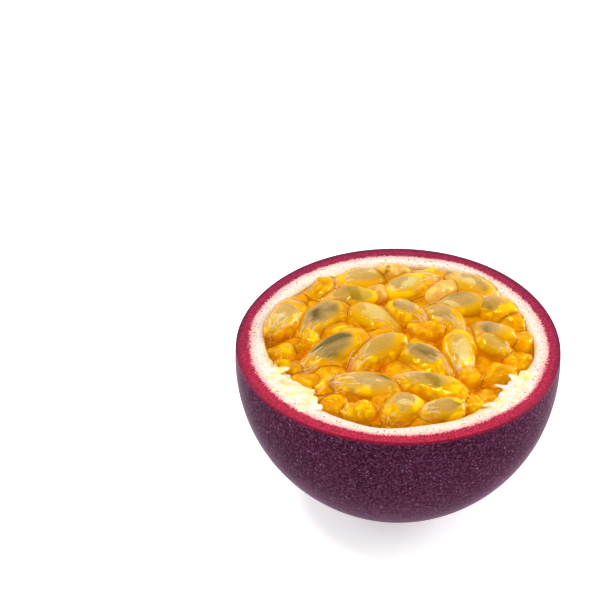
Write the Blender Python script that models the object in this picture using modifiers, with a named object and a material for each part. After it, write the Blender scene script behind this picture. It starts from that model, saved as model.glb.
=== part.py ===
"""Half a passion fruit, cut across and lying cut side up: a cup of peel full of seed sacs.

Metres, +Z up. The origin is the middle of the small flat foot that the half rests on, and -Y is
the side that faces the viewer. Two pieces are made: the peel, which is rind and pith in one, and
the pulp, a juicy core with the seed sacs that show fused on.
"""

import math
import random

import bmesh
import bpy
from mathutils import Euler, Vector

MM = 0.001

# The fruit: an ellipsoid, cut a little above its widest level
WIDEST_RADIUS = 26.0 * MM
DEPTH_BELOW_WIDEST = 28.2 * MM
CUT_ABOVE_WIDEST = 1.8 * MM
FOOT_TRIM = 0.4 * MM  # the weight of the half flattens its lowest point
WIDEST_HEIGHT = DEPTH_BELOW_WIDEST - FOOT_TRIM
CUT_HEIGHT = WIDEST_HEIGHT + CUT_ABOVE_WIDEST

# The peel: rind and pith together, with a rounded inner lip at the cut
PEEL_THICKNESS = 4.4 * MM
CAVITY_RADIUS = WIDEST_RADIUS - PEEL_THICKNESS
CAVITY_DEPTH = DEPTH_BELOW_WIDEST - PEEL_THICKNESS
LIP_ROUNDING = 0.7 * MM

# How far the fruit is from round: (waves round the rim, height of a wave, direction of one crest)
SKIN_WAVES = ((2, 0.10 * MM, 15.0), (3, 0.22 * MM, -35.0), (5, 0.06 * MM, 50.0))
LIP_WAVES = ((4, 0.22 * MM, 70.0), (7, 0.20 * MM, 10.0), (11, 0.13 * MM, 33.0))
# Where the pith swells into the cavity: (direction in degrees, half width in degrees, reach)
PITH_SWELLINGS = ((214.0, 34.0, 2.9 * MM), (-36.0, 32.0, 1.8 * MM), (118.0, 22.0, 0.9 * MM))
SWELLING_DEPTH = 9.0 * MM

# The pulp: a core just clear of the peel, and sacs whose backs stand up to the cut or above it
FIT_GAP = 0.3 * MM
CORE_BELOW_CUT = 1.9 * MM
CORE_CROWN = 0.7 * MM
SAC_BACK_AT_WALL = 1.1 * MM  # above the cut
CROWN = 0.8 * MM  # the sacs in the middle stand this much higher than those at the wall
SAC_THICKNESS = 0.80  # as a share of a sac's width
SAC_TAPER = 0.24  # how much narrower the stalk end is
SAC_BLUNTNESS = 2.7  # 2 is an ellipsoid, and more is blunter at both ends
SAC_BOW = 0.16  # how far the ends bow sideways, as a share of half the width
LARGEST_TILT = 13.0
LARGEST_LIFT = 0.45 * MM
SHAKE_SEED = 5

# A second layer of sacs shows in the gaps, set out evenly like the seeds of a sunflower
BED_SACS = 27
BED_SAC_LENGTH = 9.0
BED_SAC_WIDTH = 6.0
BED_DROP = 1.5 * MM  # its backs lie this much lower
GOLDEN_ANGLE = 137.5

TURN_STEPS = 60
WALL_STEPS = 11
SAC_SIDES = 9
SAC_RINGS = 6

# Each sac that shows, as it lies in the cut: millimetres to the right of the middle and away from
# the viewer, the heading of its thick end in degrees, its length and its width in millimetres.
SACS_ON_TOP = (
    # the back row, along the far wall
    (-7.0, 17.2, 28, 10.0, 6.0),
    (-1.7, 19.2, -20, 5.0, 4.2),
    (1.6, 15.8, 197, 9.4, 5.8),
    (4.6, 18.4, 0, 6.5, 4.6),
    (-3.9, 13.6, 30, 5.5, 4.0),
    (11.3, 16.0, -32, 10.5, 6.0),
    (6.6, 14.2, 55, 8.4, 4.2),
    (-13.2, 14.0, 30, 5.5, 4.0),
    # the second row
    (-9.0, 12.2, -5, 9.5, 5.0),
    (9.2, 10.9, 10, 9.5, 6.0),
    (15.2, 10.0, -30, 8.0, 5.5),
    (18.0, 7.4, -50, 6.0, 5.0),
    (-15.6, 10.6, 50, 5.5, 4.0),
    # across the middle
    (-17.9, 5.0, 66, 12.0, 5.2),
    (-12.4, 6.8, 50, 12.0, 6.4),
    (-4.0, 6.8, 147, 9.5, 6.2),
    (1.2, 8.2, 138, 8.0, 5.0),
    (7.0, 7.2, 138, 9.5, 5.6),
    (15.0, 3.6, -35, 8.5, 5.6),
    (15.3, -0.2, 155, 6.8, 4.2),
    (4.2, 3.6, -10, 6.5, 4.2),
    (-9.0, 3.2, 30, 5.0, 3.6),
    (-3.0, 1.6, 10, 5.5, 3.8),
    (19.5, 3.0, -60, 5.8, 5.0),
    # before the middle
    (-18.9, -2.2, 0, 5.4, 4.2),
    (-15.0, -0.2, 50, 5.2, 3.8),
    (-10.4, -2.4, 35, 13.0, 6.6),
    (-3.4, -2.8, 36, 10.5, 5.2),
    (4.6, -4.2, 142, 10.5, 6.6),
    (10.0, -2.0, 98, 10.0, 5.6),
    (19.0, -2.6, -50, 6.0, 5.0),
    (11.4, -7.6, -60, 5.5, 4.4),
    (16.0, -7.0, 10, 7.0, 5.5),
    # the front rows
    (-17.6, -5.6, -20, 5.5, 3.6),
    (-14.4, -9.0, -30, 6.5, 5.0),
    (-11.4, -11.4, 60, 5.5, 4.4),
    (-5.0, -10.8, 5, 11.8, 6.6),
    (5.8, -11.2, -28, 13.0, 5.6),
    (13.8, -12.2, 30, 6.0, 4.4),
    (11.7, -14.4, -40, 6.5, 3.8),
    (-9.8, -15.2, -30, 5.2, 4.6),
    (-6.0, -17.4, 10, 6.2, 5.0),
    (0.6, -16.8, 45, 7.2, 6.2),
    (7.3, -17.0, 15, 7.6, 4.8),
)


def clear_scene():
    for thing in list(bpy.data.objects):
        bpy.data.objects.remove(thing, do_unlink=True)


def new_collection(name):
    made = bpy.data.collections.new(name)
    bpy.context.scene.collection.children.link(made)
    return made


def move_to(thing, collection):
    for old in list(thing.users_collection):
        old.objects.unlink(thing)
    collection.objects.link(thing)


def material(name, colour, roughness):
    made = bpy.data.materials.new(name)
    made.use_nodes = True
    shader = made.node_tree.nodes["Principled BSDF"]
    shader.inputs["Base Color"].default_value = (*colour, 1.0)
    shader.inputs["Roughness"].default_value = roughness
    shader.inputs["Metallic"].default_value = 0.0
    return made


def smooth_step(share):
    share = min(max(share, 0.0), 1.0)
    return share * share * (3.0 - 2.0 * share)


def ellipse_arc(radius, depth, first, last, steps):
    """(distance from the axis, height) of points on an upright ellipse about the widest level."""
    for step in range(steps + 1):
        angle = first + (last - first) * step / steps
        yield radius * math.cos(angle), WIDEST_HEIGHT + depth * math.sin(angle)


def waves(angle, parts):
    return sum(height * math.cos(count * (angle - math.radians(crest))) for count, height, crest in parts)


def swelling(angle):
    """How far the pith reaches into the cavity in this direction."""
    reach = 0.0
    for direction, half_width, most in PITH_SWELLINGS:
        off = (math.degrees(angle) - direction + 180.0) % 360.0 - 180.0
        reach += most * smooth_step(1.0 - abs(off) / half_width)
    return reach


def cavity_radius(height):
    """The plain cavity's radius at this height, before it is made uneven."""
    drop = (WIDEST_HEIGHT - height) / CAVITY_DEPTH
    return CAVITY_RADIUS * math.sqrt(max(0.0, 1.0 - drop * drop))


def uneven(point):
    """Moves a point of the plain turned fruit to its place in the real, uneven one.

    Peel, core and sacs all go through this one smooth warp, so the gaps between them hold.
    """
    radius = math.hypot(point.x, point.y)
    if radius < MM * 0.01:
        return point.copy()
    angle = math.atan2(point.y, point.x)
    to_skin = radius / WIDEST_RADIUS
    to_wall = smooth_step(radius / CAVITY_RADIUS) * smooth_step(
        (WIDEST_RADIUS - radius) / (PEEL_THICKNESS * 0.85)
    )
    near_cut = smooth_step(1.0 - (CUT_HEIGHT - point.z) / SWELLING_DEPTH)
    under_lip = smooth_step((CUT_HEIGHT - point.z) / LIP_ROUNDING)
    moved = radius + to_skin**2 * waves(angle, SKIN_WAVES)
    moved += to_wall * near_cut * waves(angle, LIP_WAVES)
    moved -= to_wall * near_cut * under_lip * swelling(angle)
    return Vector((moved * math.cos(angle), moved * math.sin(angle), point.z))


def warp(mesh):
    for vertex in mesh.vertices:
        vertex.co = uneven(vertex.co)
    mesh.update()


def turned(name, profile, collection, finish):
    """A solid turned about the Z axis from (radius, height) points, top of its outer side first."""
    mesh = bpy.data.meshes.new(name)
    points = [(radius, 0.0, height) for radius, height in profile]
    mesh.from_pydata(points, [(i, i + 1) for i in range(len(points) - 1)], [])
    plain = bpy.data.objects.new(name + "_profile", mesh)
    collection.objects.link(plain)
    screw = plain.modifiers.new("Turn", "SCREW")
    screw.steps = screw.render_steps = TURN_STEPS
    screw.use_merge_vertices = True
    screw.merge_threshold = 0.01 * MM
    graph = bpy.context.evaluated_depsgraph_get()
    made = bpy.data.objects.new(name, bpy.data.meshes.new_from_object(plain.evaluated_get(graph)))
    bpy.data.objects.remove(plain)
    collection.objects.link(made)
    clean = bmesh.new()
    clean.from_mesh(made.data)
    bmesh.ops.remove_doubles(clean, verts=clean.verts, dist=0.01 * MM)
    bmesh.ops.recalc_face_normals(clean, faces=clean.faces)
    clean.to_mesh(made.data)
    clean.free()
    made.data.materials.clear()
    made.data.materials.append(finish)
    return made


def peel_profile():
    """From the cut's outer edge down the skin to the foot, then up the cavity to the lip."""
    rim = math.asin(CUT_ABOVE_WIDEST / DEPTH_BELOW_WIDEST)
    foot = -math.asin(WIDEST_HEIGHT / DEPTH_BELOW_WIDEST)
    yield from ellipse_arc(WIDEST_RADIUS, DEPTH_BELOW_WIDEST, rim, foot, WALL_STEPS)
    yield 0.0, 0.0
    lip_start = CUT_HEIGHT - LIP_ROUNDING
    lip_angle = math.asin((lip_start - WIDEST_HEIGHT) / CAVITY_DEPTH)
    inside = list(ellipse_arc(CAVITY_RADIUS, CAVITY_DEPTH, -math.pi / 2, lip_angle, WALL_STEPS))
    yield 0.0, inside[0][1]
    yield from inside[1:]
    wall = cavity_radius(lip_start)
    yield wall + LIP_ROUNDING * 0.3, CUT_HEIGHT - LIP_ROUNDING * 0.3
    yield wall + LIP_ROUNDING, CUT_HEIGHT
    middle = (wall + LIP_ROUNDING + WIDEST_RADIUS) / 2
    yield middle, CUT_HEIGHT
    yield WIDEST_RADIUS * math.cos(rim), CUT_HEIGHT


def core_profile():
    """The juicy core under the sacs: a gently crowned top, and sides that follow the cavity."""
    top = CUT_HEIGHT - CORE_BELOW_CUT
    start = math.asin((top - WIDEST_HEIGHT) / CAVITY_DEPTH)
    radius, depth = CAVITY_RADIUS - FIT_GAP, CAVITY_DEPTH - FIT_GAP
    for share in (0.0, 0.5, 0.8):
        yield radius * share, top + CORE_CROWN * (1.0 - share**2)
    sides = list(ellipse_arc(radius, depth, start, -math.pi / 2, WALL_STEPS))
    yield from sides[:-1]
    yield 0.0, sides[-1][1]


def hold_inside(point):
    """Presses a point of a sac flat against the peel, a fitting gap clear of it."""
    radius = math.hypot(point.x, point.y)
    angle = math.atan2(point.y, point.x)
    height = min(point.z, CUT_HEIGHT - LIP_ROUNDING)
    wall = cavity_radius(height) - FIT_GAP * 1.3
    at_wall = Vector((wall * math.cos(angle), wall * math.sin(angle), height))
    most = uneven(at_wall).xy.length
    if radius > most:
        point.xy = point.xy * (most / radius)
    return point


def bed_rows(shake):
    """Rows like those of the sacs on top, for the layer under them."""
    reach = (CAVITY_RADIUS / MM) - BED_SAC_WIDTH / 2
    for number in range(BED_SACS):
        out = reach * math.sqrt((number + 0.5) / BED_SACS)
        angle = math.radians(GOLDEN_ANGLE * number)
        heading = math.degrees(angle) + shake.uniform(-60.0, 60.0)
        yield out * math.cos(angle), out * math.sin(angle), heading, BED_SAC_LENGTH, BED_SAC_WIDTH


def sac(name, row, drop, shake, collection):
    """One seed sac: a plump oval, drawn out towards its stalk and bowed a little."""
    across, away, heading, length, width = row
    bpy.ops.mesh.primitive_uv_sphere_add(
        segments=SAC_SIDES, ring_count=SAC_RINGS, radius=1.0, rotation=(0.0, math.pi / 2, 0.0)
    )
    made = bpy.context.active_object
    made.name = name
    bpy.ops.object.transform_apply(location=False, rotation=True, scale=False)
    half_length, half_width = length * MM / 2, width * MM / 2
    thickness = half_width * SAC_THICKNESS
    off_middle = math.hypot(across, away) * MM / CAVITY_RADIUS
    back = CUT_HEIGHT + SAC_BACK_AT_WALL + CROWN * (1.0 - off_middle**2)
    back += shake.uniform(-LARGEST_LIFT, LARGEST_LIFT) - drop
    middle = Vector((across * MM, away * MM, back - thickness))
    tilt = math.radians(shake.uniform(-LARGEST_TILT, LARGEST_TILT))
    turn = Euler((0.0, tilt, math.radians(heading))).to_matrix()
    bow = shake.choice((-1.0, 1.0)) * SAC_BOW * half_width
    for vertex in made.data.vertices:
        along, side, up = vertex.co
        slim = 1.0 - SAC_TAPER * smooth_step((0.4 - along) / 1.4)
        slim *= math.sqrt((1.001 - abs(along) ** SAC_BLUNTNESS) / (1.001 - along * along))
        shaped = Vector(
            (
                along * half_length,
                side * half_width * slim + bow * (along * along - 0.4),
                up * thickness * slim,
            )
        )
        vertex.co = hold_inside(middle + turn @ shaped)
    move_to(made, collection)
    return made


def keep_outer_shell(mesh):
    """Drops sealed pockets between sacs, and loose scraps, so that one closed skin is left."""
    work = bmesh.new()
    work.from_mesh(mesh)
    bmesh.ops.remove_doubles(work, verts=work.verts, dist=0.002 * MM)
    left = set(work.verts)
    shells = []
    while left:
        shell, front = set(), [left.pop()]
        while front:
            vertex = front.pop()
            shell.add(vertex)
            near = {edge.other_vert(vertex) for edge in vertex.link_edges} & left
            left -= near
            front.extend(near)
        shells.append(shell)
    shells.sort(key=len)
    for shell in shells[:-1]:
        bmesh.ops.delete(work, geom=list(shell), context="VERTS")
    bmesh.ops.recalc_face_normals(work, faces=work.faces)
    work.to_mesh(mesh)
    work.free()


def make_peel(collection):
    finish = material("purple_rind", (0.09, 0.02, 0.05), 0.38)
    peel = turned("peel", peel_profile(), collection, finish)
    warp(peel.data)
    return peel


def make_pulp(collection):
    finish = material("yellow_pulp", (0.85, 0.42, 0.02), 0.12)
    pulp = turned("pulp", core_profile(), collection, finish)
    warp(pulp.data)
    loose = new_collection("loose_sacs")
    shake = random.Random(SHAKE_SEED)
    for number, row in enumerate(SACS_ON_TOP):
        sac(f"top_sac_{number:02d}", row, 0.0, shake, loose)
    for number, row in enumerate(bed_rows(shake)):
        sac(f"bed_sac_{number:02d}", row, BED_DROP, shake, loose)
    union = pulp.modifiers.new("Fuse sacs", "BOOLEAN")
    union.operation = "UNION"
    union.operand_type = "COLLECTION"
    union.collection = loose
    union.solver = "EXACT"
    bpy.context.view_layer.objects.active = pulp
    bpy.ops.object.modifier_apply(modifier=union.name)
    for piece in list(loose.objects):
        bpy.data.objects.remove(piece)
    bpy.data.collections.remove(loose)
    keep_outer_shell(pulp.data)
    return pulp


def main():
    clear_scene()
    fruit = new_collection("passion_fruit_half")
    for piece in (make_peel(fruit), make_pulp(fruit)):
        piece.data.shade_smooth()
        piece.data.set_sharp_from_angle(angle=math.radians(40.0))


main()
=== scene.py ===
"""Half a passion fruit, cut across and lying cut side up, dressed as the real one looks.

A cup of purple rind and white pith holds a heap of seed sacs: seeds in clear yellow jelly over an
orange, juicy bed. Metres, +Z up, and -Y faces the camera.
"""

import math
import random

import bpy
import numpy as np
from mathutils import Color, Matrix, Vector
from mathutils.bvhtree import BVHTree


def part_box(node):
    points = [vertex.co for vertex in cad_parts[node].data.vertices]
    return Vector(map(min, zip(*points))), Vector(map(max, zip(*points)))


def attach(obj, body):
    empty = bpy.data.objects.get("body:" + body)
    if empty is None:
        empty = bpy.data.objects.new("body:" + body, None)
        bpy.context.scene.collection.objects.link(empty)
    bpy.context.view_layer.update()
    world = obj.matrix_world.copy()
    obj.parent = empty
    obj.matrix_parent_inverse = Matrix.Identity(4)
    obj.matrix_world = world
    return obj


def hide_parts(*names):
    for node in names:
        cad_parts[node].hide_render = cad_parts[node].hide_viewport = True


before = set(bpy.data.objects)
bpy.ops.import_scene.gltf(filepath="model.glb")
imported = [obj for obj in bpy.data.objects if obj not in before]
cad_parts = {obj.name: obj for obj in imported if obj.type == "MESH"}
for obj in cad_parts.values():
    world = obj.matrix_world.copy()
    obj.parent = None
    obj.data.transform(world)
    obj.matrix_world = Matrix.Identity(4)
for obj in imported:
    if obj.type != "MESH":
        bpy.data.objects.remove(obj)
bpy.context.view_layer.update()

bl_info = {
    "name": "Passion Fruit Half",
    "version": (1, 0, 0),
    "blender": (4, 5, 0),
    "location": "3D View > Sidebar > Passion Fruit",
    "description": "Models half a passion fruit with rind, pith, seeds and jelly",
    "category": "Add Mesh",
}

MM = 0.001
PEEL_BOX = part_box("peel")
CUT_HEIGHT = PEEL_BOX[1][2]

# The rind and pith, as in the CAD: (waves round the rim, height in mm, direction of one crest)
SKIN_WAVES = ((2, 0.10, 15.0), (3, 0.22, -35.0), (5, 0.06, 50.0))
LIP_WAVES = ((4, 0.22, 70.0), (7, 0.20, 10.0), (11, 0.13, 33.0))
# Where the pith swells into the cavity: (direction, half width in degrees, reach in mm)
PITH_SWELLINGS = ((214.0, 34.0, 2.9), (-36.0, 32.0, 1.8), (118.0, 22.0, 0.9))
SWELLING_DEPTH = 9.0 * MM
# Torn tongues and plates of pith over the pulp, in mm: (root x, y, tip x, y, half width, sharpness).
# A sharpness of 1 is a pointed tongue, and 0 a plate with a blunt end.
PITH_TONGUES = (
    (22.2, -7.6, 19.3, -6.7, 2.2, 0.3),
    (21.4, -10.9, 17.4, -9.6, 2.5, 0.35),
    (19.6, -13.9, 16.3, -12.2, 2.6, 0.3),
    (17.6, -16.2, 14.8, -15.2, 1.9, 0.4),
    (18.8, -11.2, 14.8, -9.8, 1.2, 1.0),
    (19.8, -9.0, 17.2, -7.7, 1.1, 0.7),
    (17.2, -14.7, 12.9, -15.7, 1.3, 1.0),
    (-21.6, -8.6, -17.2, -7.3, 1.5, 0.55),
    (-20.8, -10.8, -17.9, -9.6, 1.8, 0.3),
    (-19.8, -12.8, -13.2, -13.6, 1.9, 0.15),
    (-18.2, -15.2, -12.6, -15.5, 1.9, 0.15),
    (-16.0, -17.6, -11.8, -17.2, 1.4, 0.25),
)

# Each sac that shows: millimetres to the right of the middle and away from the viewer, the heading
# of its thick end in degrees, its length and width in millimetres, the kind of its jelly, and where
# its seed lies along it, from -1 at the stalk to 1 at the thick end. None has no seed that shows.
SACS_ON_TOP = (
    # the back row, along the far wall
    (-7.0, 17.2, 28, 10.0, 6.0, "gold", 0.25),
    (-1.2, 19.6, -12, 6.8, 4.8, "peach", None),
    (1.6, 15.8, 197, 9.4, 5.8, "gold", 0.35),
    (4.8, 19.0, 0, 7.6, 4.8, "gold", None),
    (-3.9, 13.6, 30, 5.5, 4.0, "peach", None),
    (11.5, 16.6, -32, 11.5, 6.2, "peach", 0.0),
    (6.6, 14.2, 55, 8.4, 4.2, "peach", None),
    (-13.6, 14.6, 42, 7.4, 5.0, "gold", None),
    # the second row
    (-9.0, 12.2, -5, 9.5, 5.2, "peach", 0.5),
    (9.4, 11.2, 6, 11.0, 6.4, "clear", 0.0),
    (15.4, 10.2, -30, 8.6, 5.8, "gold", -0.4),
    (18.0, 7.4, -50, 6.0, 5.0, "amber", None),
    (-17.0, 10.8, 58, 6.6, 4.6, "amber", None),
    # across the middle
    (-18.4, 6.6, 68, 13.0, 5.6, "gold", -0.4),
    (-12.4, 6.8, 50, 12.0, 6.4, "clear", 0.0),
    (-4.0, 6.8, 147, 9.5, 6.2, "clear", 0.15),
    (1.2, 8.2, 138, 8.0, 5.0, "clear", 0.1),
    (7.0, 7.2, 138, 9.5, 5.6, "clear", 0.0),
    (15.0, 3.6, -35, 8.5, 5.6, "gold", 0.0),
    (15.3, -0.2, 155, 6.8, 4.2, "clear", 0.0),
    (4.2, 3.6, -10, 6.5, 4.2, "amber", None),
    (-9.0, 3.2, 30, 5.0, 3.6, "clear", None),
    (-3.0, 1.6, 10, 5.5, 3.8, "amber", None),
    (19.5, 3.0, -60, 5.8, 5.0, "amber", None),
    # before the middle
    (-18.9, -2.2, 0, 5.4, 4.2, "gold", None),
    (-15.0, -0.2, 50, 5.2, 3.8, "clear", None),
    (-10.4, -2.4, 35, 13.0, 6.6, "clear", 0.0),
    (-3.4, -2.8, 36, 10.5, 5.2, "clear", 0.15),
    (4.6, -4.2, 142, 10.5, 6.6, "gold", 0.3),
    (10.0, -2.0, 98, 10.0, 5.6, "clear", -0.2),
    (19.0, -2.6, -50, 6.0, 5.0, "amber", None),
    (11.4, -7.6, -60, 5.5, 4.4, "amber", None),
    (16.0, -7.0, 10, 7.0, 5.5, "amber", None),
    # the front rows
    (-17.6, -5.6, -20, 5.5, 3.6, "gold", None),
    (-14.4, -9.0, -30, 6.5, 5.0, "amber", None),
    (-11.4, -11.4, 60, 5.5, 4.4, "gold", None),
    (-5.0, -10.8, 5, 11.8, 6.6, "clear", 0.0),
    (5.8, -11.2, -28, 13.0, 5.6, "clear", -0.25),
    (13.8, -12.2, 30, 6.0, 4.4, "amber", None),
    (11.7, -14.4, -40, 6.5, 3.8, "gold", None),
    (-9.8, -15.2, -30, 5.2, 4.6, "amber", None),
    (-6.0, -17.4, 10, 6.2, 5.0, "gold", None),
    (0.6, -16.8, 45, 7.2, 6.2, "gold", 0.3),
    (7.3, -17.0, 15, 7.6, 4.8, "clear", 0.0),
)
JELLY_KINDS = {"clear": "#F8E012", "gold": "#F8D800", "amber": "#F8C600", "peach": "#F8DA90"}
# How far under the cut the bed's plain top and the underside of the pools between the sacs lie
BED_BELOW_CUT = 4.0 * MM
POOL_BELOW_CUT = 5.0 * MM
# Half the length, width and thickness of a seed with the flesh that clings round it, which its
# colours show: the bare seed inside is about two thirds as long
SEED_HALF = np.array((5.2, 3.0, 1.6)) * MM


def linear(code):
    """The linear colour of an sRGB hex code."""
    parts = [int(code[i : i + 2], 16) / 255 for i in (1, 3, 5)]
    return tuple(part / 12.92 if part <= 0.04045 else ((part + 0.055) / 1.055) ** 2.4 for part in parts)


def distance(label, words, size):
    return bpy.props.FloatProperty(
        name=label, description=words, default=size * MM, precision=5, subtype="DISTANCE", unit="LENGTH"
    )


def colour(label, words, code):
    return bpy.props.FloatVectorProperty(
        name=label, description=words, default=linear(code), size=3, min=0.0, max=1.0, subtype="COLOR"
    )


class FruitSizes(bpy.types.PropertyGroup):
    """The driving sizes of the half."""

    widest_radius: distance("Widest radius", "From the axis to the skin at the widest level", 26.0)
    depth: distance("Depth", "From the widest level down to the full fruit's end", 28.2)
    cut_above: distance("Cut above widest", "How far above its widest level the fruit is cut", 1.8)
    peel: distance("Peel", "Thickness of rind and pith together", 4.4)
    rind: distance("Rind", "Thickness of the skin and the crimson band under it", 2.1)
    lip: distance("Lip", "Rounding of the pith's inner edge at the cut", 0.7)
    gap: distance("Fitting gap", "Room between the peel and the pulp", 0.3)
    crown: distance("Crown", "How much higher the sacs in the middle stand", 0.8)
    back_at_wall: distance("Sac backs at the wall", "Height of the outer sacs above the cut", 1.1)


class FruitColours(bpy.types.PropertyGroup):
    """The colours of the half."""

    skin: colour("Skin", "The waxy purple skin", "#3A0E26")
    # Partly painted light: laid on more strongly low down, this also stands for light from the floor
    bloom_and_floor_light: colour("Bloom", "The fine lilac mottling of the skin", "#64405A")
    fleck: colour("Flecks", "The pale flecks in the skin", "#8C6C82")
    rim: colour("Rim", "The skin at the cut, where the crimson shows through", "#9A1834")
    # Partly painted shade: the skin's own dark cut edge, which also stands for shade along the edge
    edge: colour("Edge", "The cut edge of the skin", "#481034")
    crimson: colour("Crimson band", "The cut rind under the skin, at the front", "#B81C40")
    magenta: colour("Magenta band", "The same band at the back, where it is riper", "#8E1440")
    blush: colour("Blush", "The pink edge of the band", "#EFA0A2")
    flush: colour("Flush", "The pith that the band has tinged", "#F4C8BC")
    speck: colour("Specks", "The vessel ends in the pith", "#8A4A38")
    pith: colour("Pith", "The dry white pith", "#F1E2D3")
    stain: colour("Juice stain", "Pith that has soaked up juice", "#F6DD8A")
    jelly: colour("Jelly", "The clear jelly over the seeds", "#FFF8E0")
    ripe: colour("Ripe flesh", "The yellow flesh at the rim of a seed", "#FFCC00")
    # Painted shade: this deeper orange stands for shade in the creases and hollows, on the sacs' lower sides,
    # behind their folds and under the seeds
    deep_shade: colour("Deep flesh", "The flesh where sacs meet and in the hollows", "#EC9C00")
    crest: colour("Crest", "The flesh where a fold catches the light", "#FFE430")
    # Painted shade: this dark line stands for the shade at a sac's edge
    outline: colour("Outline", "The olive edge of a sac where it meets the next", "#5C4400")
    # Painted light: the flesh and the seeds give off this glow, though they are no lamp
    glow: colour("Glow", "The daylight that the jelly gathers", "#FFA800")
    fibre: colour("Fibres", "The pale threads at a sac's stalk", "#FFF0D2")
    bed: colour("Bed", "The juicy orange bed under the sacs", "#FFC814")
    seed: colour("Seed", "The seed coat as it shows through the jelly", "#D2B27C")
    # Partly painted shade: besides the coat's own darker patches, these stand for shade on the seeds
    seed_dark_and_shade: colour("Seed, dark", "The darker patches of the seed coat", "#80744A")
    seed_warm: colour("Seed, warm", "The seed coat under thin yellow jelly", "#EEC680")
    seed_pale: colour("Seed, pale", "The seed coat where it catches the light", "#F6E6AC")


class Form:
    """The half's form, in metres, worked out from the sizes in the panel."""

    def __init__(self, sizes):
        self.radius, self.depth = sizes.widest_radius, sizes.depth
        self.widest = CUT_HEIGHT - sizes.cut_above
        self.peel, self.rind, self.lip, self.gap = sizes.peel, sizes.rind, sizes.lip, sizes.gap
        self.cavity, self.cavity_depth = self.radius - self.peel, self.depth - self.peel
        self.crown, self.back_at_wall = sizes.crown, sizes.back_at_wall

    def wall(self, height):
        """The plain cavity's radius at this height."""
        drop = (self.widest - height) / self.cavity_depth
        return self.cavity * np.sqrt(np.clip(1.0 - drop * drop, 0.0, 1.0))

    def uneven(self, points):
        """Moves points of the plain turned fruit to their place in the real, uneven one."""
        radius, angle = polar(points)
        to_skin, fades_over = radius / self.radius, 0.85 * self.peel
        to_wall = smooth_step(radius / self.cavity) * smooth_step((self.radius - radius) / fades_over)
        near_cut = smooth_step(1.0 - (CUT_HEIGHT - points[:, 2]) / SWELLING_DEPTH)
        under_lip = smooth_step((CUT_HEIGHT - points[:, 2]) / self.lip)
        moved = radius + to_skin**2 * waves(angle, SKIN_WAVES)
        moved += to_wall * near_cut * waves(angle, LIP_WAVES)
        moved -= to_wall * near_cut * under_lip * swelling(angle)
        return np.column_stack((moved * np.cos(angle), moved * np.sin(angle), points[:, 2]))

    def hold_inside(self, points, clear=1.3):
        """Presses points against the peel, clear of it by so many fitting gaps."""
        radius, angle = polar(points)
        height = np.minimum(points[:, 2], CUT_HEIGHT - self.lip)
        wall = self.wall(height) - self.gap * clear
        at_wall = np.column_stack((wall * np.cos(angle), wall * np.sin(angle), height))
        most = np.hypot(*self.uneven(at_wall).T[:2])
        share = np.minimum(1.0, most / np.maximum(radius, 1e-9))
        return points * np.column_stack((share, share, np.ones(len(share))))


def smooth_step(share):
    share = np.clip(share, 0.0, 1.0)
    return share * share * (3.0 - 2.0 * share)


def polar(points):
    return np.hypot(points[:, 0], points[:, 1]), np.arctan2(points[:, 1], points[:, 0])


def waves(angle, parts):
    return sum(height * MM * np.cos(count * (angle - math.radians(crest))) for count, height, crest in parts)


def swelling(angle):
    """How far the pith reaches into the cavity in this direction."""
    reach = np.zeros_like(angle)
    for direction, half_width, most in PITH_SWELLINGS:
        off = (np.degrees(angle) - direction + 180.0) % 360.0 - 180.0
        reach += most * MM * smooth_step(1.0 - np.abs(off) / half_width)
    return reach


def points_of(piece):
    flat = np.empty(len(piece.data.vertices) * 3)
    piece.data.vertices.foreach_get("co", flat)
    return flat.reshape(-1, 3)


def set_points(piece, points):
    piece.data.vertices.foreach_set("co", points.ravel())
    piece.data.update()


def set_attribute(piece, name, values):
    made = piece.data.attributes.new(name, "FLOAT", "POINT")
    made.data.foreach_set("value", np.asarray(values, dtype=np.float32))


def set_vector(piece, name, values):
    made = piece.data.attributes.new(name, "FLOAT_VECTOR", "POINT")
    made.data.foreach_set("vector", np.asarray(values, dtype=np.float32).ravel())


def add_group(piece, name, weights):
    """Adds a vertex group with each point's weight."""
    group = piece.vertex_groups.new(name=name)
    for index in np.flatnonzero(weights):
        group.add([int(index)], float(weights[index]), "REPLACE")


def work_on(piece):
    """Makes this the one selected and active piece."""
    bpy.ops.object.select_all(action="DESELECT")
    piece.select_set(True)
    bpy.context.view_layer.objects.active = piece


def add_sphere(name, segments, rings):
    bpy.ops.object.select_all(action="DESELECT")
    bpy.ops.mesh.primitive_uv_sphere_add(segments=segments, ring_count=rings, radius=1.0)
    made = bpy.context.active_object
    made.name = made.data.name = name
    return made


def stretch(size, lift):
    """Scales what is selected about the origin, then lifts it."""
    bpy.ops.transform.resize(value=size, center_override=(0.0, 0.0, 0.0))
    bpy.ops.transform.translate(value=(0.0, 0.0, lift))


def cut_at(height, **sides):
    """Cuts what is selected with a level plane."""
    bpy.ops.mesh.bisect(plane_co=(0.0, 0.0, height), plane_no=(0.0, 0.0, 1.0), threshold=1e-6, **sides)


def join(name, pieces):
    bpy.ops.object.select_all(action="DESELECT")
    for piece in pieces:
        piece.select_set(True)
    bpy.context.view_layer.objects.active = pieces[0]
    bpy.ops.object.join()
    pieces[0].name = pieces[0].data.name = name
    return pieces[0]


def modify(piece, kind, **settings):
    """Adds a modifier to the piece and applies it."""
    work_on(piece)
    made = piece.modifiers.new(kind.title(), kind)
    for key, value in settings.items():
        setattr(made, key, value)
    bpy.ops.object.modifier_apply(modifier=made.name)


def clouds(name, size, depth, noise="SOFT_NOISE"):
    """A cloud pattern for a Displace modifier, with its largest forms this size. Hard noise has folds."""
    made = bpy.data.textures.new(name, "CLOUDS")
    made.noise_scale, made.noise_depth, made.noise_type = size, depth, noise
    return made


def copy_of(piece, name):
    made = piece.copy()
    made.data = piece.data.copy()
    made.name = made.data.name = name
    bpy.context.collection.objects.link(made)
    return made


def remove(piece):
    bpy.data.objects.remove(piece, do_unlink=True)


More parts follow.
